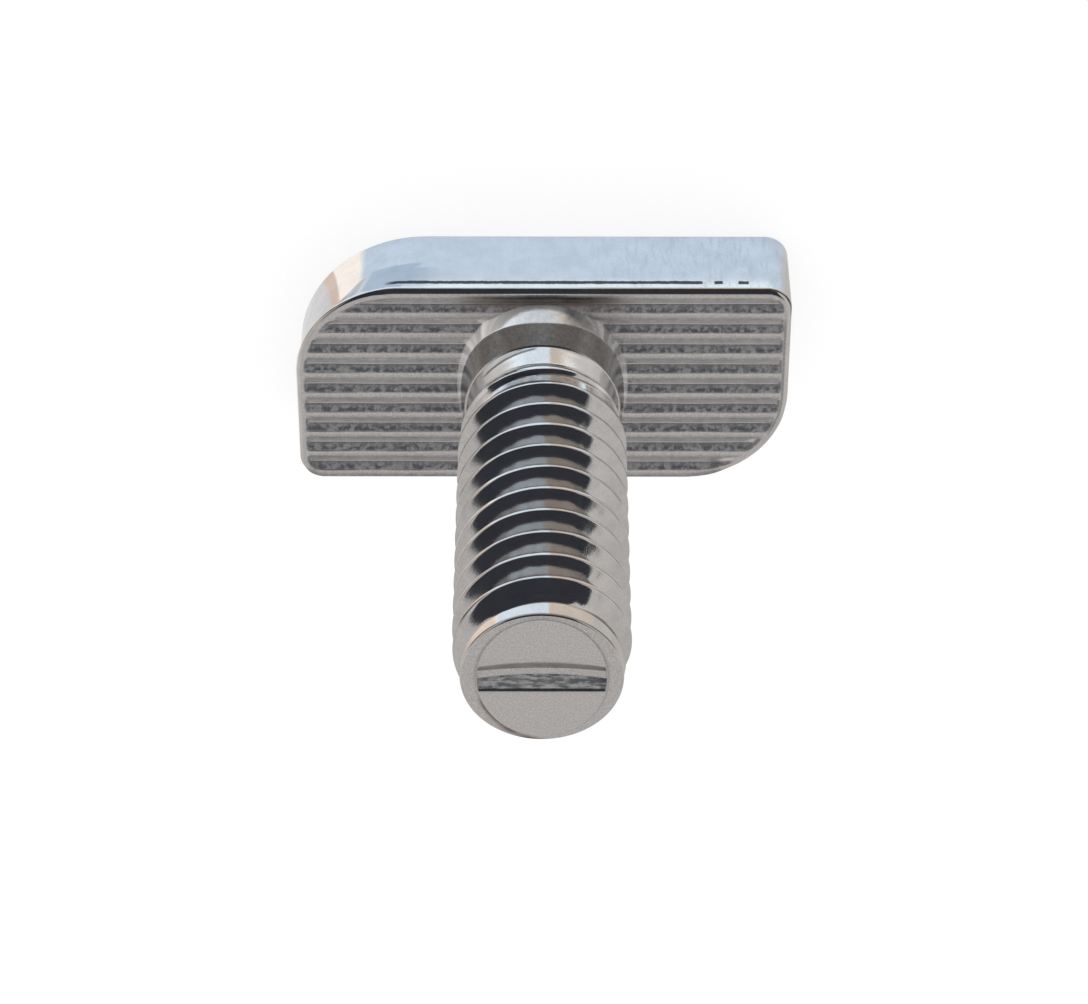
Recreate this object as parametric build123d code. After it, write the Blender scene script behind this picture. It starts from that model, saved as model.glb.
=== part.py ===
from build123d import *
from math import floor, radians, sqrt, tan
import os

# A T-bolt: one piece, with a flat oblong head that turns in a channel and a rolled thread.
# It stands on the flat top of its head. +Z runs up the shank, the head is long along X,
# and the origin is where the shank's axis meets the head's top. Lengths are in millimetres.

# Head
HEAD_LENGTH = 18.9
HEAD_WIDTH = 8.9
HEAD_THICKNESS = 3.75
SWING_RADIUS_TOP = 5.0  # the two round corners that let the head turn, at the head's top
SWING_RADIUS_SEAT = 4.0  # the same corners at the seat, where they are fuller
SEAT_BAND = 1.85  # height below the seat over which the swing corners fill out
STOP_RADIUS = 0.95  # the two tight corners that stop the head against the channel
TOP_EDGE_ROUND = 0.15
SEAT_EDGE_ROUND = 0.22

# Serrations across the seat, parallel to the head's length
SERRATION_PITCH = 0.935
SERRATION_DEPTH = 0.157
SERRATION_FLANK = 26.5  # degrees between a flank and the seat
SERRATION_MARGIN = 0.3  # plain rim that the grooves leave round the seat

# Shank, with heights measured from the seat
SHANK_LENGTH = 17.3
COLLAR_FOOT = (6.56, 7.38)  # the oval collar's size along X and Y where it meets the seat
COLLAR_TOP = (6.24, 6.84)  # and at its top
COLLAR_HEIGHT = 0.66
NECK_TAPER = 0.87  # height of the cone between the collar and the neck
NECK_DIAMETER = 5.8

# Thread, 1/4-20 UNC, right-handed
MAJOR_DIAMETER = 6.35
PITCH = 1.27
FLANK_ANGLE = 30.0  # degrees between a flank and the plane across the axis
DEPTH_PER_PITCH = 0.6134  # of a UNC external thread
GROOVE_PER_PITCH = 7 / 8  # width of the groove at the crests, so that an eighth is crest
THREAD_ENTRY = 1.29  # height of the groove's centre line where it starts, on the +X side
THREAD_RISE = 2.14  # the crests leave the neck's surface here
FULL_THREAD = 3.54  # the crests have their full diameter from here on
ROOT_ENTRY = 2.75  # the root starts to sink below the neck's surface here
ROOT_RUNOUT = 1.4  # length over which it sinks to its full depth
THREAD_EXIT = 0.56  # distance from the end to the groove's centre line where it stops

# Point
POINT_TAPER = 1.55  # the crests start to fall this far before the end
POINT_LAND = 0.7  # and reach the plain point this far before it
POINT_RISE = 0.09  # height of the shallow cone round the end face
POINT_EDGE = 0.11  # height of the bevel below that cone
POINT_EDGE_INSET = 0.08  # how far the bevel leans inwards
POINT_DIAMETER = 5.74
POINT_INSET = 0.06  # how far the end face lies inside the thread's root
MARK_WIDTH = 1.28  # stamped mark in the end face, which shows how the head lies
MARK_FLOOR = 0.3  # width of its flat floor, between two sloping walls
MARK_DEPTH = 0.36
MARK_OFFSET = -0.08  # its middle line lies this far from the shank's axis, along Y
MARK_MARGIN = 0.03  # between the mark's corners and the rim of the end face

# Worked out from the values above
OVERCUT = 0.05  # how far a cutter reaches past the surface it cuts
SAME_PLACE = 0.01  # two points closer than this are one corner
major_radius = MAJOR_DIAMETER / 2
thread_depth = DEPTH_PER_PITCH * PITCH
root_radius = major_radius - thread_depth
neck_radius = NECK_DIAMETER / 2
point_radius = POINT_DIAMETER / 2
face_radius = root_radius - POINT_INSET
seat_z = HEAD_THICKNESS
tip_z = seat_z + SHANK_LENGTH


def head_outline(z, swing_radius):
    """The head's outline across the shank at height z, with two swing and two stop corners."""
    outline = Rectangle(HEAD_LENGTH, HEAD_WIDTH)
    swing = [v for v in outline.vertices() if v.X * v.Y < 0]
    outline = fillet(swing, min(swing_radius, HEAD_WIDTH - STOP_RADIUS - OVERCUT))
    corner = Vector(HEAD_LENGTH / 2, HEAD_WIDTH / 2)
    stop = [v for v in outline.vertices() if abs(Vector(abs(v.X), abs(v.Y)) - corner) < SAME_PLACE]
    return Pos(0, 0, z) * fillet(stop, STOP_RADIUS)


def head_blank():
    """The head before its seat is serrated."""
    band_z = seat_z - SEAT_BAND
    head = extrude(head_outline(0, SWING_RADIUS_TOP), band_z)
    head += loft(
        [head_outline(band_z, SWING_RADIUS_TOP), head_outline(seat_z, SWING_RADIUS_SEAT)],
        ruled=True,
    )
    head = fillet(head.edges().group_by(Axis.Z)[-1], SEAT_EDGE_ROUND)
    return fillet(head.edges().group_by(Axis.Z)[0], TOP_EDGE_ROUND)


def serrations():
    """V grooves across the seat, as many as fit inside its plain rim."""
    spread = 1 / tan(radians(SERRATION_FLANK))
    half_mouth = SERRATION_DEPTH * spread
    room = HEAD_WIDTH / 2 - SERRATION_MARGIN - half_mouth
    each_side = floor(room / SERRATION_PITCH)
    over = half_mouth + OVERCUT * spread
    vee = Plane.YZ * Polyline(
        (-over, OVERCUT), (0, -SERRATION_DEPTH), (over, OVERCUT), close=True
    )
    groove = extrude(make_face(vee), HEAD_LENGTH, both=True)
    bed = offset(head_outline(seat_z - SERRATION_DEPTH - OVERCUT, SWING_RADIUS_SEAT), -SERRATION_MARGIN)
    bed = extrude(bed, SERRATION_DEPTH + 2 * OVERCUT)
    places = [Pos(0, n * SERRATION_PITCH, seat_z) for n in range(-each_side, each_side + 1)]
    return [place * groove & bed for place in places]


def turned(outline):
    """A solid of revolution about the shank's axis. The outline's x is a radius, its y a height."""
    return Pos(0, 0, seat_z) * revolve(make_face(Plane.XZ * outline), Axis.Z)


def collar():
    """The oval collar and its cone, which ends round at the neck."""
    foot = Ellipse(COLLAR_FOOT[0] / 2, COLLAR_FOOT[1] / 2)
    top = Ellipse(COLLAR_TOP[0] / 2, COLLAR_TOP[1] / 2)
    foot_z = seat_z - SERRATION_DEPTH - OVERCUT
    body = extrude(Pos(0, 0, foot_z) * foot, seat_z - foot_z)
    body += loft([Pos(0, 0, seat_z) * foot, Pos(0, 0, seat_z + COLLAR_HEIGHT) * top])
    neck = Pos(0, 0, seat_z + COLLAR_HEIGHT + NECK_TAPER) * Circle(neck_radius)
    return body + loft([Pos(0, 0, seat_z + COLLAR_HEIGHT) * top, neck])


def neck_and_core():
    """The neck, with the core that the thread's root runs out on."""
    return turned(
        Polyline(
            (0, 0),
            (neck_radius, 0),
            (neck_radius, ROOT_ENTRY),
            (root_radius - OVERCUT, ROOT_ENTRY + ROOT_RUNOUT),
            (0, ROOT_ENTRY + ROOT_RUNOUT),
            close=True,
        )
    )


def thread_blank():
    """What the thread's crests lie on: a rise from the neck, the full diameter and the point."""
    taper = (major_radius - neck_radius) / (FULL_THREAD - THREAD_RISE)
    sunk = PITCH / 4
    return turned(
        Polyline(
            (0, THREAD_RISE - sunk),
            (neck_radius - taper * sunk, THREAD_RISE - sunk),
            (major_radius, FULL_THREAD),
            (major_radius, SHANK_LENGTH - POINT_TAPER),
            (point_radius, SHANK_LENGTH - POINT_LAND),
            (point_radius, SHANK_LENGTH - POINT_RISE - POINT_EDGE),
            (point_radius - POINT_EDGE_INSET, SHANK_LENGTH - POINT_RISE),
            (face_radius, SHANK_LENGTH),
            (0, SHANK_LENGTH),
            close=True,
        )
    )


def thread_groove():
    """The helical groove between the crests, as single turns that follow one another."""
    slope = tan(radians(FLANK_ANGLE))
    half_groove = PITCH * GROOVE_PER_PITCH / 2
    half_mouth = half_groove + OVERCUT * slope
    half_root = half_groove - thread_depth * slope
    section = Plane.XZ * Polyline(
        (major_radius + OVERCUT, -half_mouth),
        (major_radius + OVERCUT, half_mouth),
        (root_radius, half_root),
        (root_radius, -half_root),
        close=True,
    )
    length = SHANK_LENGTH - THREAD_EXIT - THREAD_ENTRY
    whole_turns = floor(length / PITCH)
    rises = [PITCH] * whole_turns + [length - whole_turns * PITCH]
    turns = []
    for n, rise in enumerate(rises):
        path = Edge.make_helix(PITCH, rise, major_radius)
        turn = sweep(make_face(section), path=path, is_frenet=True)
        turns.append(Pos(0, 0, seat_z + THREAD_ENTRY + n * PITCH) * turn)
    return turns


def end_mark():
    """The stamped mark across the end face, parallel to the head's length."""
    reach = face_radius - MARK_MARGIN
    half_width, half_floor = MARK_WIDTH / 2, MARK_FLOOR / 2
    half_length = sqrt(reach**2 - (half_width + abs(MARK_OFFSET)) ** 2)
    over = OVERCUT * (half_width - half_floor) / MARK_DEPTH
    section = Plane.YZ * Polyline(
        (-half_width - over, OVERCUT),
        (-half_floor, -MARK_DEPTH),
        (half_floor, -MARK_DEPTH),
        (half_width + over, OVERCUT),
        close=True,
    )
    return Pos(0, MARK_OFFSET, tip_z) * extrude(make_face(section), half_length, both=True)


def t_bolt():
    """The whole bolt."""
    head = head_blank() - serrations()
    threaded = thread_blank() - thread_groove()
    return head + collar() + neck_and_core() + threaded - end_mark()


os.makedirs("parts", exist_ok=True)
export_step(t_bolt(), "parts/t_bolt.step")
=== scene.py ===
import math

import bpy
import numpy as np
from mathutils import Matrix, Vector


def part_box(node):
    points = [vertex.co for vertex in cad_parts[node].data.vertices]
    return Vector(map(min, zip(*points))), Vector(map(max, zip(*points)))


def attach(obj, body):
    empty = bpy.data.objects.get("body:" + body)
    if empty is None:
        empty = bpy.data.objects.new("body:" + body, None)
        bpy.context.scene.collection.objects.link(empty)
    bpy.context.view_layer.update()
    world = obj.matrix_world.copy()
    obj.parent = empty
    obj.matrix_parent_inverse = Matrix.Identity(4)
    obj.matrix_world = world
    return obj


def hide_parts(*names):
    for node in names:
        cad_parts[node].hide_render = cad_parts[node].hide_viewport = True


# The T-bolt stands on the flat top of its head, with +Z up the shank and the head long along X.
# Lengths in this file are millimetres in the part's frame, and MM turns them into metres.

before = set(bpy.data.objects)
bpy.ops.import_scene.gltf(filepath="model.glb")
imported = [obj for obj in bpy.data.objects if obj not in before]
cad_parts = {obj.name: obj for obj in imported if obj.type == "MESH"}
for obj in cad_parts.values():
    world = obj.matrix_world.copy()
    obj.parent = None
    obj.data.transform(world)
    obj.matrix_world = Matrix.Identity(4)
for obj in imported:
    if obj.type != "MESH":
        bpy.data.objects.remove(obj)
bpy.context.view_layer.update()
MM = 0.001
low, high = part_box("t_bolt")
HEAD_LENGTH = (high.x - low.x) / MM
HEAD_WIDTH = (high.y - low.y) / MM
TIP_Z = high.z / MM

# Head
HALF_LENGTH, HALF_WIDTH = HEAD_LENGTH / 2, HEAD_WIDTH / 2
SEAT_Z = 3.75
SWING_RADIUS_TOP = 5.0
SWING_RADIUS_SEAT = 4.0
SEAT_BAND = 1.85
STOP_RADIUS = 0.95
TOP_EDGE_ROUND = 0.15
SEAT_EDGE_ROUND = 0.22
SERRATION_PITCH = 0.935
SERRATION_DEPTH = 0.157
SERRATION_FLANK = 26.5
SERRATIONS_EACH_SIDE = 4
SERRATION_MARGIN = (0.28, 0.4)
WALL_START = 0.26
CREASE_RISE = 0.7
SEAT_HOLE = 0.93

# The outline's corners by side number, as signs of X and Y and the direction in degrees they start at.
# Sides 1 and 5 are the swing corners, and 3 and 7 the stop corners.
CORNERS = {1: (1, -1, -90), 3: (1, 1, 0), 5: (-1, 1, 90), 7: (-1, -1, 180)}
STRAIGHTS = {0: (0, -1), 2: (1, 0), 4: (0, 1), 6: (-1, 0)}

# Shank, with heights from the seat and half sizes along X and Y
SHANK = TIP_Z - SEAT_Z
MAJOR_RADIUS = 3.175
PITCH = 1.27
ROOT_RADIUS = MAJOR_RADIUS - 0.6134 * PITCH
HALF_MOUTH = 0.45 * PITCH
FLANK_ANGLE = 28.5
NECK_RADIUS = 2.9
COLLAR_FOOT = (3.28, 3.69)
COLLAR_TOP = (3.12, 3.42)
COLLAR_HEIGHT = 0.66
NECK_Z = 1.53
NECK_LEAN = 0.12
THREAD_ENTRY = 1.29
FIRST_CREST = {2.44: 2.87, 2.6: 3.0, 3.0: 3.01}
HAIRLINE_Z = 2.6
FULL_THREAD = 3.54
ROOT_ENTRY = 2.75
ROOT_RUNOUT = 1.4
RUNOUT_DROP = 0.12
THREAD_EXIT = 0.56
POINT_TAPER = 1.55
POINT_LAND = 0.7
POINT_RADIUS = 2.87
POINT_EDGE = (0.08, 0.11)
POINT_RISE = 0.03
FACE = (2.28, 2.64)

TURNED_COLUMNS = 150
SHARP_ANGLE = 40


def ease(low_edge, high_edge, value):
    """0 below one edge, 1 above the other, and smooth between them."""
    t = np.clip((value - low_edge) / (high_edge - low_edge), 0.0, 1.0)
    return t * t * (3 - 2 * t)


def peak(value, centre, width):
    """1 at a centre, falling away smoothly on both sides."""
    return np.exp(-(((value - centre) / width) ** 2))


def ripple(seed, *coords):
    """A smooth repeatable wobble between about -1 and 1."""
    rng = np.random.default_rng(seed)
    total = 0.0
    for _ in range(7):
        phase = rng.uniform(0, 2 * math.pi)
        wave = phase
        for c in coords:
            wave = wave + rng.normal(0, 1) * c
        total = total + np.sin(wave)
    return total / 3.5


class Surface:
    """Vertices, faces and per-vertex values of finish and of painted light and shade, gathered before they
    become one mesh.
    """

    # Satin and wall are finish. The other values paint shade, highlights and reflections into the colour, two
    # of them together with dirt and stain.
    FINISHES_AND_PAINTED_LIGHT = ("satin", "soil", "stain", "wall", "band", "line", "glint", "pale")

    def __init__(self):
        self.points = []
        self.faces = []
        self.finish_and_light = {name: [] for name in self.FINISHES_AND_PAINTED_LIGHT}
        self.count = 0

    def add(self, points, **finish_and_light):
        """Adds points, an array of shape (..., 3), and returns their indices in the same shape."""
        flat = np.asarray(points, float).reshape(-1, 3)
        index = np.arange(self.count, self.count + len(flat)).reshape(np.shape(points)[:-1])
        self.points.append(flat)
        for name in self.FINISHES_AND_PAINTED_LIGHT:
            value = np.broadcast_to(finish_and_light.get(name, 0.0), index.shape)
            self.finish_and_light[name].append(np.array(value, float).reshape(-1))
        self.count += len(flat)
        return index

    def quads(self, a, b, c, d):
        """Adds faces whose corners are the matching entries of four index arrays."""
        self.faces.extend(np.stack([np.ravel(v) for v in (a, b, c, d)], axis=1).tolist())

    def grid(self, index):
        """Faces of an open grid."""
        self.quads(index[:-1, :-1], index[:-1, 1:], index[1:, 1:], index[1:, :-1])

    def ring_grid(self, index):
        """Faces of a grid whose last column joins its first."""
        after = np.roll(index, -1, axis=1)
        self.quads(index[:-1], after[:-1], after[1:], index[1:])

    def build(self, name):
        """The gathered surface as one mesh object. Faces that have shrunk to a line are left out."""
        points = np.concatenate(self.points) * MM
        mesh = bpy.data.meshes.new(name)
        faces = []
        for face in self.faces:
            corners = list(dict.fromkeys(face))
            if len(corners) > 2:
                faces.append(corners)
        mesh.from_pydata(points.tolist(), [], faces)
        for key, parts in self.finish_and_light.items():
            layer = mesh.attributes.new(key, "FLOAT", "POINT")
            layer.data.foreach_set("value", np.concatenate(parts).astype(np.float32))
        mesh.validate()
        mesh.update()
        piece = bpy.data.objects.new(name, mesh)
        bpy.context.scene.collection.objects.link(piece)
        return piece


# ---------------------------------------------------------------- head


def outline_point(side, t, swing):
    """A point of the head's outline. Sides run anticlockwise from the front long edge."""
    hx, hy, stop = HALF_LENGTH, HALF_WIDTH, STOP_RADIUS
    if side == 0:
        a, b = (-hx + stop, -hy), (hx - swing, -hy)
    elif side == 2:
        a, b = (hx, -hy + swing), (hx, hy - stop)
    elif side == 4:
        a, b = (hx - stop, hy), (-hx + swing, hy)
    elif side == 6:
        a, b = (-hx, hy - swing), (-hx, -hy + stop)
    else:
        radius = swing if side in (1, 5) else stop
        sign_x, sign_y, _ = CORNERS[side]
        cx, cy = sign_x * (hx - radius), sign_y * (hy - radius)
        nx, ny = outward(side, t)
        return cx + radius * nx, cy + radius * ny
    return a[0] + (b[0] - a[0]) * t, a[1] + (b[1] - a[1]) * t


def outward(side, t):
    """The outline's outward direction."""
    if side in STRAIGHTS:
        return STRAIGHTS[side]
    angle = math.radians(CORNERS[side][2]) + t * math.pi / 2
    return math.cos(angle), math.sin(angle)


def outline_place(x, y, swing):
    """Which side of the outline a point of it lies on, and how far along."""
    hx, hy, stop = HALF_LENGTH, HALF_WIDTH, STOP_RADIUS
    for side, (sign_x, sign_y, start) in CORNERS.items():
        radius = swing if side in (1, 5) else stop
        cx, cy = sign_x * (hx - radius), sign_y * (hy - radius)
        if (x - cx) * sign_x > 1e-9 and (y - cy) * sign_y > 1e-9:
            turn = (math.atan2(y - cy, x - cx) - math.radians(start)) % (2 * math.pi)
            return side, turn / (math.pi / 2)
    if abs(y + hy) < 1e-6:
        return 0, (x + hx - stop) / (2 * hx - stop - swing)
    if abs(y - hy) < 1e-6:
        return 4, (hx - stop - x) / (2 * hx - stop - swing)
    if x > 0:
        return 2, (y + hy - swing) / (2 * hy - stop - swing)
    return 6, (hy - swing - y) / (2 * hy - stop - swing)


def row_ends(y, swing):
    """The lowest and highest x of the outline at y."""

    def reach(radius, depth):
        if depth >= radius:
            return HALF_LENGTH
        return HALF_LENGTH - radius + math.sqrt(max(radius**2 - (radius - depth) ** 2, 0))

    front, back = y + HALF_WIDTH, HALF_WIDTH - y
    right = min(reach(swing, front), reach(STOP_RADIUS, back))
    left = -min(reach(STOP_RADIUS, front), reach(swing, back))
    return left, right


def inset(x, y, swing):
    """How far a point lies inside the outline."""
    depth = np.minimum(HALF_LENGTH - np.abs(x), HALF_WIDTH - np.abs(y))
    for side, (sign_x, sign_y, _) in CORNERS.items():
        radius = swing if side in (1, 5) else STOP_RADIUS
        u = x * sign_x - (HALF_LENGTH - radius)
        v = y * sign_y - (HALF_WIDTH - radius)
        in_corner = (u > 0) & (v > 0)
        depth = np.where(in_corner, radius - np.hypot(u, v), depth)
    return np.maximum(depth, 0.0)


def seat_rows():
    """The places across the seat, along Y, at which its shape changes."""
    half_mouth = SERRATION_DEPTH / math.tan(math.radians(SERRATION_FLANK))
    rows = []
    for n in range(-SERRATIONS_EACH_SIDE, SERRATIONS_EACH_SIDE + 1):
        for share in (0, 0.06, 0.15, 0.35, 0.6, 0.82, 0.94, 1.0, 1.06, 1.16, 1.3):
            rows += [n * SERRATION_PITCH + share * half_mouth, n * SERRATION_PITCH - share * half_mouth]
    for step in np.linspace(0, math.pi / 2, 9):
        edge = HALF_WIDTH - SEAT_EDGE_ROUND * (1 - math.cos(step))
        rows += [edge, -edge]
    for radius, steps in ((SWING_RADIUS_SEAT, 28), (STOP_RADIUS, 14)):
        for step in np.linspace(0, math.pi / 2, steps):
            edge = HALF_WIDTH - radius * (1 - math.cos(step))
            rows += [edge, -edge]
    kept = []
    for y in sorted(rows):
        if not kept or y - kept[-1] > 0.006:
            kept.append(y)
    kept[-1] = HALF_WIDTH
    return np.array(kept)


def seat_columns(left, right):
    """Places along a row of the seat, close together where its ends are rounded."""
    near = np.array([0, 0.004, 0.016, 0.036, 0.07, 0.11, 0.16, 0.21, 0.25, 0.29, 0.33, 0.37, 0.42, 0.62])
    width = right - left
    near = near * min(1.0, width / 4)
    middle = np.linspace(left + near[-1], right - near[-1], 62)[1:-1]
    return np.concatenate([left + near, middle, right - near[::-1]])


def serration(x, y):
    """Depth of the seat's grooves, dirt and painted shade on one flank, a painted dark line on the other
    flank's lip, and a painted highlight on that flank.
    """
    slope = math.tan(math.radians(SERRATION_FLANK))
    n = np.clip(np.round(y / SERRATION_PITCH), -SERRATIONS_EACH_SIDE, SERRATIONS_EACH_SIDE)
    across = y - n * SERRATION_PITCH
    depth = SERRATION_DEPTH + 0.012 - np.hypot(across * slope, 0.012)
    cut = np.maximum(depth + 0.012 * ripple(11, x * 1.3, y * 0.9) * (depth > 0), 0.0)
    soil = ease(-0.02, 0.05, across) * ease(-0.01, 0.03, depth) * (0.6 + 0.4 * ease(0.04, 0.2, across))
    lip = peak(across * slope, -SERRATION_DEPTH, 0.05)
    glint = ease(0.03, -0.03, across) * ease(-0.01, 0.02, depth)
    return cut, soil, lip, glint


def seat_surface(x, y):
    """Heights over the seat, with the finish and the painted light and shade of each point."""
    depth = inset(x, y, SWING_RADIUS_SEAT)
    # The edge is sharper at the swing corners and along the rear
    swinging = ease(5.5, 7.5, x * np.clip(-0.5 * y, -1.0, 1.0))
    rounding = SEAT_EDGE_ROUND - 0.09 * swinging - 0.1 * ease(4.0, 4.3, y)
    inside = np.clip(rounding - depth, 0.0, rounding)
    drop = rounding - np.sqrt(np.maximum(rounding**2 - inside**2, 0.0))
    cut, soil, lip, glint = serration(x, y)
    reach = (np.hypot(x / COLLAR_FOOT[0], y / COLLAR_FOOT[1]) - 1) * COLLAR_FOOT[0]
    kept = ease(*SERRATION_MARGIN, depth)
    # Painted shade in the grooves' ends, and a painted dark line beside them along the -X end
    groove_end_shade = peak(depth, 0.34, 0.05) * (cut > 0.03) * ease(0.0, 0.1, np.abs(x) - 8.2)
    rim = peak(depth, 0.23, 0.03) * ease(-8.6, -8.9, x) * ease(-3.4, -2.8, y)
    # Painted shade: the black line of the front edge, the brown patch before the collar with a dark line
    # across it, and the darker rear edge
    edge = ease(0.008, 0.014, depth) * ease(0.05, 0.03, depth) * ease(-3.0, -3.6, y)
    shade = ease(3.9, 1.6, np.abs(x)) * ease(-3.35, -3.75, y) * ease(0.18, 0.3, depth)
    painted_dark_line = peak(y, -4.07, 0.09) * shade
    back = ease(0.36, 0.1, depth) * ease(3.9, 4.1, y)
    shade_lines = (0.45 * lip * kept, 0.6 * rim, 0.9 * edge, 0.75 * painted_dark_line, 0.45 * back)
    finish_and_light = {
        "satin": (0.7 + 0.3 * ease(0.0, 0.5, reach)) * ease(0.12, 0.24, depth),
        "glint": glint * kept * (1 - shade),
        "soil": np.maximum(soil * kept, 0.9 * groove_end_shade),
        "stain": 0.75 * shade,
        "line": np.maximum.reduce(shade_lines),
    }
    return SEAT_Z - drop - cut * kept, finish_and_light


def wall_levels():
    """Heights down the head's side, with the swing radius and the inset at each."""
    levels = []
    for below in (WALL_START, 0.36, 0.55, 0.9, 1.3, 1.5, 1.56, 1.7, 1.79, 1.82, SEAT_BAND):
        share = below / SEAT_BAND
        swing = SWING_RADIUS_SEAT + (SWING_RADIUS_TOP - SWING_RADIUS_SEAT) * share
        levels.append((SEAT_Z - below, swing, 0.0))
    for below in np.linspace(SEAT_BAND + 0.03, SEAT_Z - TOP_EDGE_ROUND, 4):
        levels.append((float(SEAT_Z - below), SWING_RADIUS_TOP, 0.0))
    for step in np.linspace(0, math.pi / 2, 6)[1:]:
        z = TOP_EDGE_ROUND * (1 - math.sin(step))
        levels.append((z, SWING_RADIUS_TOP, TOP_EDGE_ROUND * (1 - math.cos(step))))
    return levels


def level_height(side, t, z):
    """Height of a wall level. On swing corner 1 the crease rises to meet the seat's edge."""
    crease = SEAT_BAND
    if side == 1:
        crease = SEAT_BAND * (1 - CREASE_RISE * ease(0.24, 0.56, t) * ease(1.0, 0.7, t))
    wall_end = SEAT_Z - TOP_EDGE_ROUND
    levels = [WALL_START, SEAT_BAND, wall_end, SEAT_Z]
    moved = [WALL_START, crease, wall_end, SEAT_Z]
    return SEAT_Z - float(np.interp(SEAT_Z - z, levels, moved))


def blue_reflection_band(side, t, x, z):
    """A painted dark bluish reflection on the band under the crease of swing corner 1, and on the front wall
    beside it.
    """
    below = SEAT_Z - z
    if side == 1:
        along = (0.35 + 0.65 * ease(0.25, 0.32, t)) * ease(0.5, 0.46, t)
        return along * ease(SEAT_BAND + 0.02, 1.8, below)
    if side == 0:
        return 0.35 * ease(3.6, 5.0, x) * ease(1.56, 1.5, below)
    return 0.0


def build_head(surface):
    """The seat as a grid of rows along X, and the wall and the flat top hung from its rim."""
    rows = seat_rows()
    grid = []
    for y in rows:
        left, right = row_ends(float(y), SWING_RADIUS_SEAT)
        grid.append([(x, y) for x in seat_columns(left, right)])
    grid = np.array(grid)
    x, y = grid[..., 0], grid[..., 1]
    z, finish_and_light = seat_surface(x, y)
    seat = surface.add(np.stack([x, y, z], axis=-1), **finish_and_light)
    # The seat stops just inside the collar's foot, so no face of it is buried under the shank
    buried = np.hypot(x / COLLAR_FOOT[0], y / COLLAR_FOOT[1]) < SEAT_HOLE
    painted_reflection = ~(buried[:-1, :-1] & buried[:-1, 1:] & buried[1:, 1:] & buried[1:, :-1])
    corners = (seat[:-1, :-1], seat[:-1, 1:], seat[1:, 1:], seat[1:, :-1])
    surface.quads(*(corner[painted_reflection] for corner in corners))

    rim = np.concatenate([seat[0, :], seat[1:, -1], seat[-1, -2::-1], seat[-2:0:-1, 0]])
    rim_xy = np.concatenate([grid[0, :], grid[1:, -1], grid[-1, -2::-1], grid[-2:0:-1, 0]])
    places = [outline_place(px, py, SWING_RADIUS_SEAT) for px, py in rim_xy]
    rings, painted_bands = [], []
    for z_level, swing, pull in wall_levels():
        ring, band = [], []
        for side, t in places:
            px, py = outline_point(side, t, swing)
            nx, ny = outward(side, t)
            ring.append((px - nx * pull, py - ny * pull, level_height(side, t, z_level)))
            band.append(blue_reflection_band(side, t, px, z_level))
        rings.append(ring)
        painted_bands.append(band)
    rings = np.array(rings)
    # Painted shade along the wall's foot at the head's top, where it meets the floor
    foot_shade = 0.3 * ease(0.16, 0.12, rings[..., 2])
    wall = surface.add(rings, wall=1.0, band=np.array(painted_bands), line=foot_shade)
    wall = np.vstack([rim[None, :], wall])
    after = np.roll(wall, -1, axis=1)
    surface.quads(after[:-1], wall[:-1], wall[1:], after[1:])
    surface.faces.append(list(wall[-1][::-1]))


# ---------------------------------------------------------------- shank


def crest_limit(z):
    """Radius of the thread's crests at height z."""
    heights = [*FIRST_CREST, FULL_THREAD, SHANK - POINT_TAPER, SHANK - POINT_LAND]
    radii = [*FIRST_CREST.values(), MAJOR_RADIUS, MAJOR_RADIUS, POINT_RADIUS]
    return np.interp(z, heights, radii)


def thread_radius(turn, z):
    """Radius of the shank above its cone, at a share of a turn and a height."""
    along = (z - THREAD_ENTRY) / PITCH - turn
    w = (along - np.round(along)) * PITCH
    last = (SHANK - THREAD_EXIT - THREAD_ENTRY) / PITCH
    ended = ease(last - 0.14, last + 0.03, np.round(along) + turn)
    angle = 2 * math.pi * turn
    around = (3 * np.cos(angle), 3 * np.sin(angle))
    uneven = 0.010 * ripple(5, *around, z * 1.9)
    uneven = uneven + 0.006 * ripple(6, 5 * around[0], 5 * around[1], z * 7)
    flank = MAJOR_RADIUS - (HALF_MOUTH + uneven - np.abs(w)) / math.tan(math.radians(FLANK_ANGLE))
    root = ROOT_RADIUS + 0.02
    groove = 0.5 * (flank + root + np.hypot(flank - root, 0.09))
    runout = [ROOT_ENTRY, ROOT_ENTRY + 0.5 * ROOT_RUNOUT, ROOT_ENTRY + ROOT_RUNOUT]
    floor = np.interp(z, runout, [NECK_RADIUS, NECK_RADIUS - RUNOUT_DROP, ROOT_RADIUS - 0.05])
    groove = np.maximum(groove, floor) + 1.3 * ended
    limit = crest_limit(z)
    softness = 0.02 + 0.03 * ease(FULL_THREAD, 2.8, z)
    radius = 0.5 * (limit + groove - np.hypot(limit - groove, softness))
    lean = NECK_LEAN * (2.0 - z) * (1 - ease(2.45, 2.9, z))
    front = from_front(turn)
    hairline = 0.012 * peak(z - PITCH * front, HAIRLINE_Z, 0.03)
    shown = ease(-0.06, 0.0, front) * ease(0.3, 0.2, front)
    return radius + lean + hairline * shown


def from_front(turn):
    """Share of a turn from the front of the shank at -Y, positive towards +X."""
    turn = turn + 0.25
    return turn - np.floor(turn + 0.5)


def neck_side(turn):
    """1 at the sides of the neck, and 0 at its front."""
    return ease(0.025, 0.07, np.abs(from_front(turn)))


def turned_points(turn, radius, z):
    """Points round the shank's axis, at heights above the seat."""
    angle = 2 * math.pi * turn
    return np.stack([radius * np.cos(angle), radius * np.sin(angle), SEAT_Z + z], axis=-1)


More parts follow.
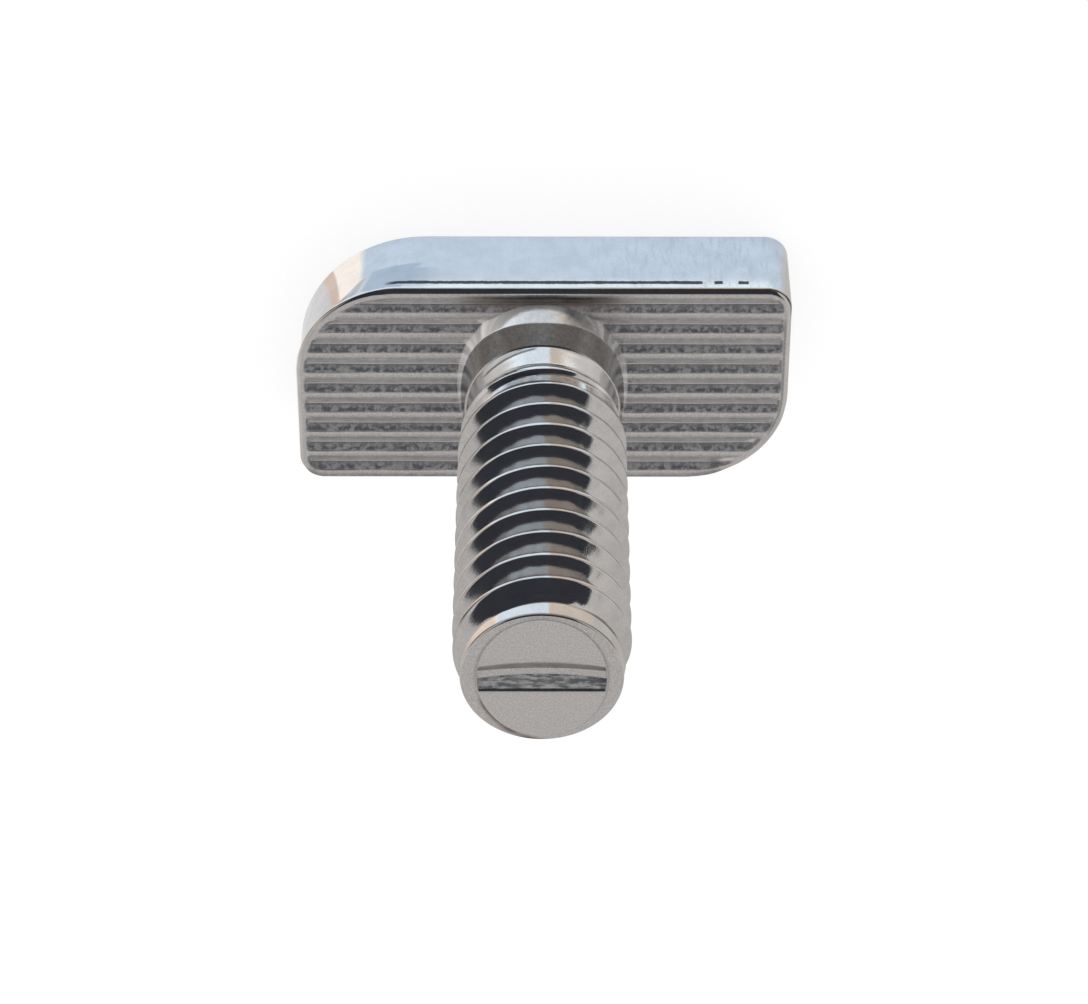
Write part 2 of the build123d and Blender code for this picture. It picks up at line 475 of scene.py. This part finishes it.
def build_shank(surface):
    """Collar, cone, neck and threaded length."""
    turns = np.arange(TURNED_COLUMNS) / TURNED_COLUMNS
    angle = 2 * math.pi * turns

    def oval(reach, z, fullness=1.0):
        cos, sin = np.cos(angle), np.sin(angle)
        x = reach[0] * np.sign(cos) * np.abs(cos) ** fullness
        y = reach[1] * np.sign(sin) * np.abs(sin) ** fullness
        return np.stack([x, y, 0 * angle + SEAT_Z + z], axis=-1)

    # Collar and cone, down to the shoulder at the neck
    foot_ring, top_ring = oval(COLLAR_FOOT, 0.0, 0.9), oval(COLLAR_TOP, COLLAR_HEIGHT, 0.82)
    shoulder = oval((NECK_RADIUS + 0.07,) * 2, NECK_Z - 0.03)
    aside = np.cos(angle)
    # Painted shade on the collar towards -X and where it faces front and back, and evenly over the cone. The
    # collar and the sides of the neck's foot get a painted sheen.
    shaded = 0.55 * ease(-0.15, -0.3, aside) * ease(-1.0, -0.9, aside)
    shaded = shaded + 0.3 * ease(0.55, 0.1, np.abs(aside))
    rows, satin = [foot_ring - [0, 0, 0.25]], [0.4]
    line, pale = [shaded], [1 + 0 * angle]
    for share in (0.0, 0.1, 0.3, 0.55, 0.8, 0.93, 0.98):
        rows.append(foot_ring + (top_ring - foot_ring) * share)
        satin.append(0.4)
        line.append(shaded)
        pale.append(1 + 0 * angle)
    for share in (0.02, 0.06, 0.15, 0.35, 0.6, 0.85, 0.96, 1.0):
        rows.append(top_ring + (shoulder - top_ring) * share)
        satin.append(0.6)
        line.append(0.37 + 0 * angle)
        pale.append(0 * angle)
    start = NECK_Z + 0.04
    for share in (0.0, 0.5, 1.0):
        z = NECK_Z + (start - NECK_Z) * share
        radius = thread_radius(turns, 0 * turns + z)
        rows.append(turned_points(turns, radius, 0 * turns + z))
        satin.append(0.3)
        line.append(0 * angle)
        pale.append(neck_side(turns) * ease(0.2, 0.1, np.abs(from_front(turns))))
    satin = np.array(satin)[:, None]
    foot = surface.add(np.array(rows), satin=satin, line=np.array(line), pale=np.array(pale))
    surface.ring_grid(foot)

    # The threaded length is a helical grid: its rows follow the thread, and one turn round a row
    # becomes the row a pitch higher. Rows past either end are held at that end.
    end = SHANK - POINT_RISE - POINT_EDGE[1] - 0.01
    shares = [0, 0.025, 0.05, 0.08, 0.11, 0.15, 0.21, 0.28, 0.34, 0.39, 0.426, 0.44, 0.453, 0.468]
    steps = sorted({round(s, 4) for s in shares} | {round(1 - s, 4) for s in shares if s} | {0.5})
    per_turn = len(steps)
    first = math.floor((start - THREAD_ENTRY) / PITCH) - 1
    last = math.ceil((end - THREAD_ENTRY) / PITCH) + 1
    rows = np.array([n + s for n in range(first, last + 1) for s in steps])
    raw = THREAD_ENTRY + PITCH * (rows[:, None] + turns[None, :])
    height = np.clip(raw, start, end)
    every = turns[None, :] + 0 * height
    radius = thread_radius(every, height)
    front = from_front(every)
    off_front = np.abs(front)
    # The sides of the neck and of the first crest are satin, with a painted sheen. The hairline's shade runs
    # on as a painted dark line towards -X, the first groove gets painted shade at the front, and the thread
    # away from the front a little painted shade.
    satin_and_sheen = neck_side(every) * ease(3.0, 2.6, height)
    satin_and_sheen = np.maximum(satin_and_sheen, ease(0.1, 0.14, off_front) * ease(3.8, 3.5, height))
    painted_dark_line = peak(height - PITCH * front, HAIRLINE_Z, 0.05)
    painted_dark_line = painted_dark_line * ease(0.02, -0.05, front) * ease(-0.3, -0.2, front)
    groove = ease(2.95, 2.87, radius) * ease(3.05, 3.15, height) * ease(3.75, 3.6, height)
    groove = groove * ease(0.1, 0.07, off_front)
    index = surface.add(
        turned_points(every, radius, height),
        satin=0.1 + 0.7 * satin_and_sheen,
        pale=satin_and_sheen * ease(0.2, 0.1, off_front),
        line=0.1 * ease(0.13, 0.17, off_front) + 0.6 * painted_dark_line + 0.5 * groove,
    )
    held_low, held_high = raw <= start, raw >= end
    top = index[np.argmax(held_high, axis=0), np.arange(TURNED_COLUMNS)]
    index = np.where(held_low, foot[-1][None, :], np.where(held_high, top[None, :], index))
    count = len(rows) - per_turn
    after = np.column_stack([index[:count, 1:], index[per_turn:, 0][:count]])
    here = index[:count]
    surface.quads(here[:-1], after[:-1], after[1:], here[1:])
    build_point(surface, top, oval)


def build_point(surface, top, oval):
    """The rounded edge of the point and the ring round its end face."""
    rows, line = [], []
    angle = 360 * np.arange(TURNED_COLUMNS) / TURNED_COLUMNS
    edge_rows = 6
    for step in np.linspace(0, 0.47 * math.pi, edge_rows):
        reach = POINT_RADIUS - POINT_EDGE[0] * (1 - math.cos(step))
        rows.append(oval((reach, reach), SHANK - POINT_RISE - POINT_EDGE[1] * (1 - math.sin(step))))
        # Painted dark reflection on the rounded edge between about 66 and 97 degrees round from +X
        line.append(0.6 * ease(66, 76, angle) * ease(97, 88, angle))
    edge = oval((POINT_RADIUS - POINT_EDGE[0],) * 2, SHANK - POINT_RISE - 0.003)
    rim = oval(FACE, SHANK - 0.003)
    # Painted shade: a grey arc beside the end face, darkest towards -Y
    shares = {0.04: 0, 0.14: 0, 0.25: 0, 0.36: 0, 0.47: 0, 0.58: 0, 0.68: 0}
    shares |= {0.77: 0.1, 0.85: 0.25, 0.92: 0.45, 0.98: 0.3, 1.03: 0}
    for share, dark in shares.items():
        rows.append(edge + (rim - edge) * share)
        line.append(dark * (0.6 + 0.4 * np.cos(np.radians(angle + 90))))
    points = np.array(rows)
    radius = np.hypot(points[..., 0], points[..., 1])
    # A dark brown line with painted shade along its middle winds outwards from the end face on the +X side
    crease = 2.36 + 0.0086 * (angle - 30) + 0.03 * ripple(21, angle / 9)
    marked = ease(14, 30, angle) * ease(98, 90, angle) * (0.75 + 0.35 * ripple(22, angle / 5))
    stain = np.clip(peak(radius, crease, 0.12) * marked, 0.0, 1.0)
    line = np.array(line) + 0.4 * peak(radius, crease, 0.05) * marked
    satin = np.where(np.arange(len(rows)) < edge_rows, 0.1, 1.0)[:, None]
    ring = surface.add(points, satin=satin, line=np.clip(line, 0.0, 1.0), stain=stain)
    surface.ring_grid(np.vstack([top[None, :], ring]))


def mark_rows(u):
    """Lines along the stamped mark, as y, depth, dirt with painted shade, and an edge line of painted shade
    at each share u of its length.
    """
    bow = u * u
    depth = 0.36 - 0.08 * bow
    front, rear = -0.74 + 0.22 * bow, np.full_like(u, 0.56)
    floor_front, floor_rear = -0.21 + 0.09 * bow, 0.09 + 0.15 * bow
    rows = [(front - 0.06, 0.0, 0.0, 0.0)]
    for share in (0.0, 0.12, 0.4, 0.7, 0.93, 1.0):
        rows.append((front + (floor_front - front) * share, depth * share + 0.008 * (share == 0), 0.15, 0.12))
    for share in (0.06, 0.5, 0.94):
        rows.append((floor_front + (floor_rear - floor_front) * share, depth, 0.0, 0.0))
    edges = {0.0: 0.2, 0.08: 0.15, 0.25: 0, 0.45: 0, 0.65: 0, 0.8: 0, 0.87: 0.9, 1.0: 1.0}
    for share, edge in edges.items():
        y = floor_rear + (rear - floor_rear) * share
        rows.append((y, depth * (1 - share) + 0.008 * (share == 1), 0.85, edge))
    rows.append((rear + 0.03, 0.002, 0.0, 0.3))
    rows.append((rear + 0.07, 0.0, 0.0, 0.0))
    return rows


def build_end_face(surface):
    """The end face, with the stamped mark across it."""
    u = np.concatenate([[-1, -0.985], np.linspace(-0.97, 0.97, 53), [0.985, 1]])
    steps = np.sin(np.linspace(-math.pi / 2, math.pi / 2, 40)) * FACE[1]
    rows = [(y + 0 * u, 0.0, 0.0, 0.0) for y in steps if y < -0.86]
    rows += mark_rows(u)
    rows += [(y + 0 * u, 0.0, 0.0, 0.0) for y in steps if y > 0.72]
    y = np.array([row[0] for row in rows])
    x = u * FACE[0] * np.sqrt(np.maximum(1 - (y / FACE[1]) ** 2, 0.0))
    within = np.abs(u) < 0.99
    depth, soil, line = (np.array([row[k] * within for row in rows]) for k in (1, 2, 3))
    face = surface.add(np.stack([x, y, TIP_Z - depth], axis=-1), satin=1.0, soil=soil, line=line)
    surface.grid(face)


# ---------------------------------------------------------------- finish and painted light


class Nodes:
    """Short calls for building a node tree."""

    def __init__(self, tree):
        self.tree = tree
        tree.nodes.clear()

    def new(self, kind, **values):
        node = self.tree.nodes.new(kind)
        for key, value in values.items():
            setattr(node, key, value)
        return node

    def put(self, value, socket):
        if isinstance(value, (int, float)):
            socket.default_value = value
        elif isinstance(value, (tuple, list)):
            alpha = (1.0,) if len(value) == 3 and socket.type == "RGBA" else ()
            socket.default_value = tuple(value) + alpha
        else:
            self.tree.links.new(value, socket)

    def math(self, operation, a, b=0.0):
        node = self.new("ShaderNodeMath", operation=operation)
        self.put(a, node.inputs[0])
        self.put(b, node.inputs[1])
        return node.outputs[0]

    def times(self, *factors):
        """The product of two or more values."""
        product = factors[0]
        for factor in factors[1:]:
            product = self.math("MULTIPLY", product, factor)
        return product

    def window(self, value, low_edge, high_edge, soft):
        """1 between two edges, and 0 outside them."""
        rise = self.ramp(value, low_edge - soft, low_edge + soft)
        return self.times(rise, self.ramp(value, high_edge + soft, high_edge - soft))

    def ramp(self, value, low_edge, high_edge, to_low=0.0, to_high=1.0):
        node = self.new("ShaderNodeMapRange", interpolation_type="SMOOTHSTEP")
        for key, v in (("Value", value), ("From Min", low_edge), ("From Max", high_edge)):
            self.put(v, node.inputs[key])
        self.put(to_low, node.inputs["To Min"])
        self.put(to_high, node.inputs["To Max"])
        return node.outputs["Result"]

    def mix(self, share, a, b):
        node = self.new("ShaderNodeMix", data_type="RGBA")
        self.put(share, node.inputs["Factor"])
        self.put(a, node.inputs[6])
        self.put(b, node.inputs[7])
        return node.outputs[2]

    def attribute(self, name):
        return self.new("ShaderNodeAttribute", attribute_name=name).outputs["Fac"]

    def place(self, scale=(1.0, 1.0, 1.0)):
        """The part's own coordinates in millimetres, stretched by scale."""
        coord = self.new("ShaderNodeTexCoord")
        mapping = self.new("ShaderNodeMapping")
        self.put(coord.outputs["Object"], mapping.inputs["Vector"])
        mapping.inputs["Scale"].default_value = tuple(s / MM for s in scale)
        return mapping.outputs["Vector"]

    def noise(self, vector, scale, detail, roughness):
        node = self.new("ShaderNodeTexNoise")
        self.put(vector, node.inputs["Vector"])
        self.put(scale, node.inputs["Scale"])
        self.put(detail, node.inputs["Detail"])
        self.put(roughness, node.inputs["Roughness"])
        return node.outputs["Fac"]


def parting_line_shade(n, x, y, z, wobble):
    """The parting line along the front wall, painted as a dark line of shade, which ends in two dashes."""
    height = n.math("ADD", z, n.times(n.math("SUBTRACT", wobble, 0.5), 0.12))
    band = n.window(height, SEAT_Z - 0.63, SEAT_Z - 0.43, 0.015)
    line, dash, last_dash = (
        n.window(x, left, right, 0.03) for left, right in ((-6.05, 6.0), (-6.82, -6.5), (-7.8, -7.4))
    )
    spans = n.math("ADD", n.math("ADD", line, dash), last_dash)
    front = n.ramp(y, 0.1 - HALF_WIDTH, 0.02 - HALF_WIDTH)
    return n.times(band, spans, front)


def neck_shade_line(n, x, y, z):
    """A painted dark line of shade that leaves the shoulder at the front of the neck and falls away to one
    side.
    """
    height = n.math("SUBTRACT", z, n.times(x, 0.17))
    middle = SEAT_Z + 1.57
    band = n.window(height, middle - 0.065, middle + 0.065, 0.025)
    span = n.times(n.ramp(x, 0.1, 0.4), n.ramp(x, 2.4, 2.0))
    return n.times(band, span, n.ramp(y, -0.8, -1.2))


def steel():
    """Bright stainless steel: polished thread, drawn wall, satin seat and end face. Its colour also carries
    painted shade, highlights and reflections from the vertex values.
    """
    material = bpy.data.materials.new("stainless_steel")
    material.use_nodes = True
    n = Nodes(material.node_tree)
    here = n.place()
    split = n.new("ShaderNodeSeparateXYZ")
    n.put(here, split.inputs[0])
    x, y, z = split.outputs
    satin, soil, stain, wall, band, line, glint, pale = (n.attribute(name) for name in Surface.FINISHES_AND_PAINTED_LIGHT)

    fine = n.noise(here, 18.0, 3.0, 0.6)
    cloud = n.noise(here, 1.3, 3.0, 0.55)
    mottle = n.noise(here, 5.0, 5.0, 0.65)
    smear = n.noise(n.place((1.6, 9.0, 4.0)), 1.0, 5.0, 0.65)
    drawn = n.noise(n.place((6.0, 6.0, 1.2)), 1.0, 5.0, 0.7)
    side = n.ramp(x, -1.0, -4.5, 0.25, 1.0)
    streaks = n.times(n.ramp(drawn, 0.45, 0.7), wall, side)

    polished = n.mix(n.ramp(cloud, 0.3, 0.7), (0.72, 0.71, 0.7), (0.8, 0.79, 0.78))
    polished = n.mix(n.ramp(fine, 0.3, 0.7, 0.16, 0.0), polished, (0.3, 0.29, 0.28))
    brushed = n.mix(n.ramp(fine, 0.34, 0.66), (0.62, 0.61, 0.605), (0.82, 0.81, 0.805))
    colour = n.mix(satin, polished, brushed)
    # Painted highlight and sheen: colour towards near white on the bright serration flanks, the collar and
    # the neck's sides.
    colour = n.mix(n.math("MAXIMUM", glint, pale), colour, (0.99, 0.97, 0.95))
    on_end = n.ramp(z, TIP_Z - 1.0, TIP_Z - 0.6)
    patches = n.math("ADD", mottle, n.times(on_end, n.math("SUBTRACT", smear, mottle)))
    # Dirt and painted shade in the grooves and the stamped mark, patchy, and streaked on the end face.
    grime_and_shade = n.times(soil, n.ramp(patches, 0.42, 0.6, 1.0, n.ramp(on_end, 0, 1, 0.5, 0.1)))
    colour = n.mix(grime_and_shade, colour, (0.14, 0.15, 0.17))
    colour = n.mix(n.times(streaks, 0.35), colour, (0.42, 0.44, 0.47))
    # Painted reflection: dark bluish on the band under swing corner 1.
    colour = n.mix(band, colour, (0.15, 0.24, 0.34))
    # Stain and painted shade: brown before the collar and along the mark on the end face.
    colour = n.mix(stain, colour, (0.3, 0.24, 0.2))
    # Painted shade: dark lines and patches, mottled, with the parting line and the neck line, taken towards
    # black.
    uneven = n.times(line, n.math("SUBTRACT", 1.0, line), 2.4)
    dark = n.math("ADD", line, n.times(uneven, n.math("SUBTRACT", 0.5, mottle)))
    dark = n.math("MAXIMUM", dark, n.times(parting_line_shade(n, x, y, z, mottle), 0.95))
    dark = n.math("MAXIMUM", dark, n.times(neck_shade_line(n, x, y, z), 0.7))
    colour = n.mix(dark, colour, (0.025, 0.03, 0.035))

    rough = n.math("ADD", n.times(satin, 0.22), n.times(fine, 0.06))
    rough = n.math("ADD", n.math("ADD", rough, n.times(soil, 0.42)), 0.04)

    height = n.times(fine, n.ramp(satin, 0, 1, 0.2, 0.6))
    height = n.math("ADD", height, n.times(mottle, soil, 3.0))
    height = n.math("ADD", height, n.times(streaks, -0.5))
    bump = n.new("ShaderNodeBump")
    bump.inputs["Strength"].default_value = 0.5
    bump.inputs["Distance"].default_value = 0.012 * MM
    n.put(height, bump.inputs["Height"])

    shader = n.new("ShaderNodeBsdfPrincipled")
    # Less metal, and so more diffuse colour, under dirt and painted shade and under the painted sheen.
    diffuse_share = n.math("MAXIMUM", soil, pale)
    n.put(n.ramp(diffuse_share, 0.2, 1.0, 1.0, 0.62), shader.inputs["Metallic"])
    n.put(colour, shader.inputs["Base Color"])
    n.put(rough, shader.inputs["Roughness"])
    n.put(bump.outputs["Normal"], shader.inputs["Normal"])
    out = n.new("ShaderNodeOutputMaterial")
    n.put(shader.outputs["BSDF"], out.inputs["Surface"])
    return material


# ---------------------------------------------------------------- studio


def studio_floor():
    """A floor that is white to the camera and casts white light. Only glossy rays see its colours,
    a painted reflection: cool on one side of the bolt, warm on the other and dark far off."""
    size = 3.0
    mesh = bpy.data.meshes.new("floor")
    corners = [(-size, -size, 0), (size, -size, 0), (size, size, 0), (-size, size, 0)]
    mesh.from_pydata(corners, [], [(0, 1, 2, 3)])
    floor = bpy.data.objects.new("floor", mesh)
    bpy.context.scene.collection.objects.link(floor)
    material = bpy.data.materials.new("white_floor")
    material.use_nodes = True
    n = Nodes(material.node_tree)
    split = n.new("ShaderNodeSeparateXYZ")
    n.put(n.place(), split.inputs[0])
    x, y, _ = split.outputs
    ahead = n.times(y, -1.0)
    bearing = n.times(n.math("ARCTAN2", x, ahead), 180 / math.pi)
    cool, bright, cream = (0.7, 0.84, 1.01), (1.07, 1.21, 1.29), (1.25, 1.17, 1.1)
    clear = (0.86, 0.98, 1.09)
    brown, tan, grey = (0.85, 0.68, 0.6), (0.74, 0.64, 0.56), (0.6, 0.575, 0.555)
    pale, gloom = (0.8, 0.8, 0.81), (0.21, 0.19, 0.175)
    blue = n.mix(n.ramp(ahead, 6.4, 6.95), cool, bright)
    blue = n.mix(n.ramp(ahead, 7.4, 8.2), blue, clear)
    left = n.mix(n.ramp(bearing, 60, 63), blue, cream)
    left = n.mix(n.ramp(bearing, 70.5, 71.5), left, brown)
    left = n.mix(n.ramp(bearing, 74, 76), left, pale)
    reach = n.math("SQRT", n.math("ADD", n.math("POWER", x, 2.0), n.math("POWER", y, 2.0)))
    left = n.mix(n.times(n.ramp(bearing, 62, 66), n.ramp(reach, 12, 15)), left, (1.0, 0.82, 0.7))
    near = n.mix(n.ramp(bearing, -60, -75), blue, grey)
    right = n.mix(n.ramp(bearing, -62, -75), tan, grey)
    right = n.mix(n.math("MAXIMUM", n.ramp(ahead, 8.0, 8.4), n.ramp(reach, 12.5, 14)), near, right)
    tint = n.mix(n.ramp(bearing, -8.5, -9.5), left, right)
    tint = n.mix(n.ramp(reach, 19, 38, 0.0, 0.5), tint, (0.06, 0.06, 0.06))
    aside = n.times(n.ramp(n.math("ABSOLUTE", bearing), 48, 66), n.ramp(reach, 26, 45))
    front = n.mix(n.math("MAXIMUM", n.ramp(reach, 100, 280), aside), tint, gloom)
    painted_reflection = n.mix(n.ramp(ahead, -4, -14), front, (0.56, 0.53, 0.51))
    path = n.new("ShaderNodeLightPath")
    diffuse = n.new("ShaderNodeBsdfDiffuse")
    diffuse.inputs["Color"].default_value = (0.26, 0.26, 0.26, 1)
    glow = n.new("ShaderNodeEmission")
    glow.inputs["Color"].default_value = (1, 1, 1, 1)
    glow.inputs["Strength"].default_value = 0.78
    lit = n.new("ShaderNodeAddShader")
    n.put(diffuse.outputs[0], lit.inputs[0])
    n.put(glow.outputs[0], lit.inputs[1])
    mirror = n.new("ShaderNodeEmission")
    n.put(painted_reflection, mirror.inputs["Color"])
    choose = n.new("ShaderNodeMixShader")
    n.put(path.outputs["Is Glossy Ray"], choose.inputs[0])
    n.put(lit.outputs[0], choose.inputs[1])
    n.put(mirror.outputs[0], choose.inputs[2])
    out = n.new("ShaderNodeOutputMaterial")
    n.put(choose.outputs[0], out.inputs["Surface"])
    mesh.materials.append(material)


def studio_world():
    """White light all round. Only glossy rays see a painted reflection of a pale tent, open above
    the front so that metal shows a dark patch there."""
    world = bpy.data.worlds.new("studio")
    bpy.context.scene.world = world
    world.use_nodes = True
    n = Nodes(world.node_tree)
    coord = n.new("ShaderNodeTexCoord")
    split = n.new("ShaderNodeSeparateXYZ")
    n.put(coord.outputs["Generated"], split.inputs[0])
    x, y, z = split.outputs
    across = n.math("ABSOLUTE", x)
    opening = n.times(n.ramp(x, 0.675, 0.655), n.ramp(x, -0.635, -0.615), n.ramp(y, 0.22, 0.14))
    low_front = n.ramp(z, 0.42, 0.12)
    gap = n.mix(low_front, (0.033, 0.036, 0.045), (0.21, 0.19, 0.175))
    tent = n.mix(n.ramp(across, 0.35, 0.8), (0.52, 0.5, 0.49), (0.62, 0.6, 0.59))
    horizon = n.times(n.ramp(z, 0.3, 0.1), n.ramp(y, 0.3, 0.1))
    painted_reflection = n.mix(n.math("MAXIMUM", opening, horizon), tent, gap)
    path = n.new("ShaderNodeLightPath")
    colour = n.mix(path.outputs["Is Glossy Ray"], (1, 1, 1), painted_reflection)
    background = n.new("ShaderNodeBackground")
    n.put(colour, background.inputs["Color"])
    out = n.new("ShaderNodeOutputWorld")
    n.put(background.outputs[0], out.inputs["Surface"])


def camera():
    """The camera, turned over so that the head is at the top of the picture and +X is on its left."""
    tilt, roll = math.radians(37.82), math.radians(-0.08)
    c, s = math.cos(tilt), math.sin(tilt)
    right, up, back = Vector((-1, 0, 0)), Vector((0, -c, -s)), Vector((0, -s, c))
    turned_right = right * math.cos(roll) - up * math.sin(roll)
    turned_up = right * math.sin(roll) + up * math.cos(roll)
    aside, lowered, distance = 0.067, 4.559, 144.16
    target = Vector((0, 0, SEAT_Z - 0.16))
    place = right * aside - up * lowered + back * distance + target
    data = bpy.data.cameras.new("camera")
    data.lens = 124.05
    data.sensor_width = 36.0
    data.sensor_fit = "HORIZONTAL"
    data.clip_start = 0.001
    view = bpy.data.objects.new("camera", data)
    basis = Matrix((turned_right, turned_up, back)).transposed().to_4x4()
    view.matrix_world = Matrix.Translation(place * MM) @ basis
    bpy.context.scene.collection.objects.link(view)
    bpy.context.scene.camera = view


surface = Surface()
build_head(surface)
build_shank(surface)
build_end_face(surface)
bolt = surface.build("bolt")
bolt.data.materials.append(steel())
bolt.data.shade_smooth()
bolt.data.set_sharp_from_angle(angle=math.radians(SHARP_ANGLE))
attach(bolt, "root")
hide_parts("t_bolt")

studio_floor()
studio_world()
camera()
bpy.context.scene.view_settings.view_transform = "Standard"
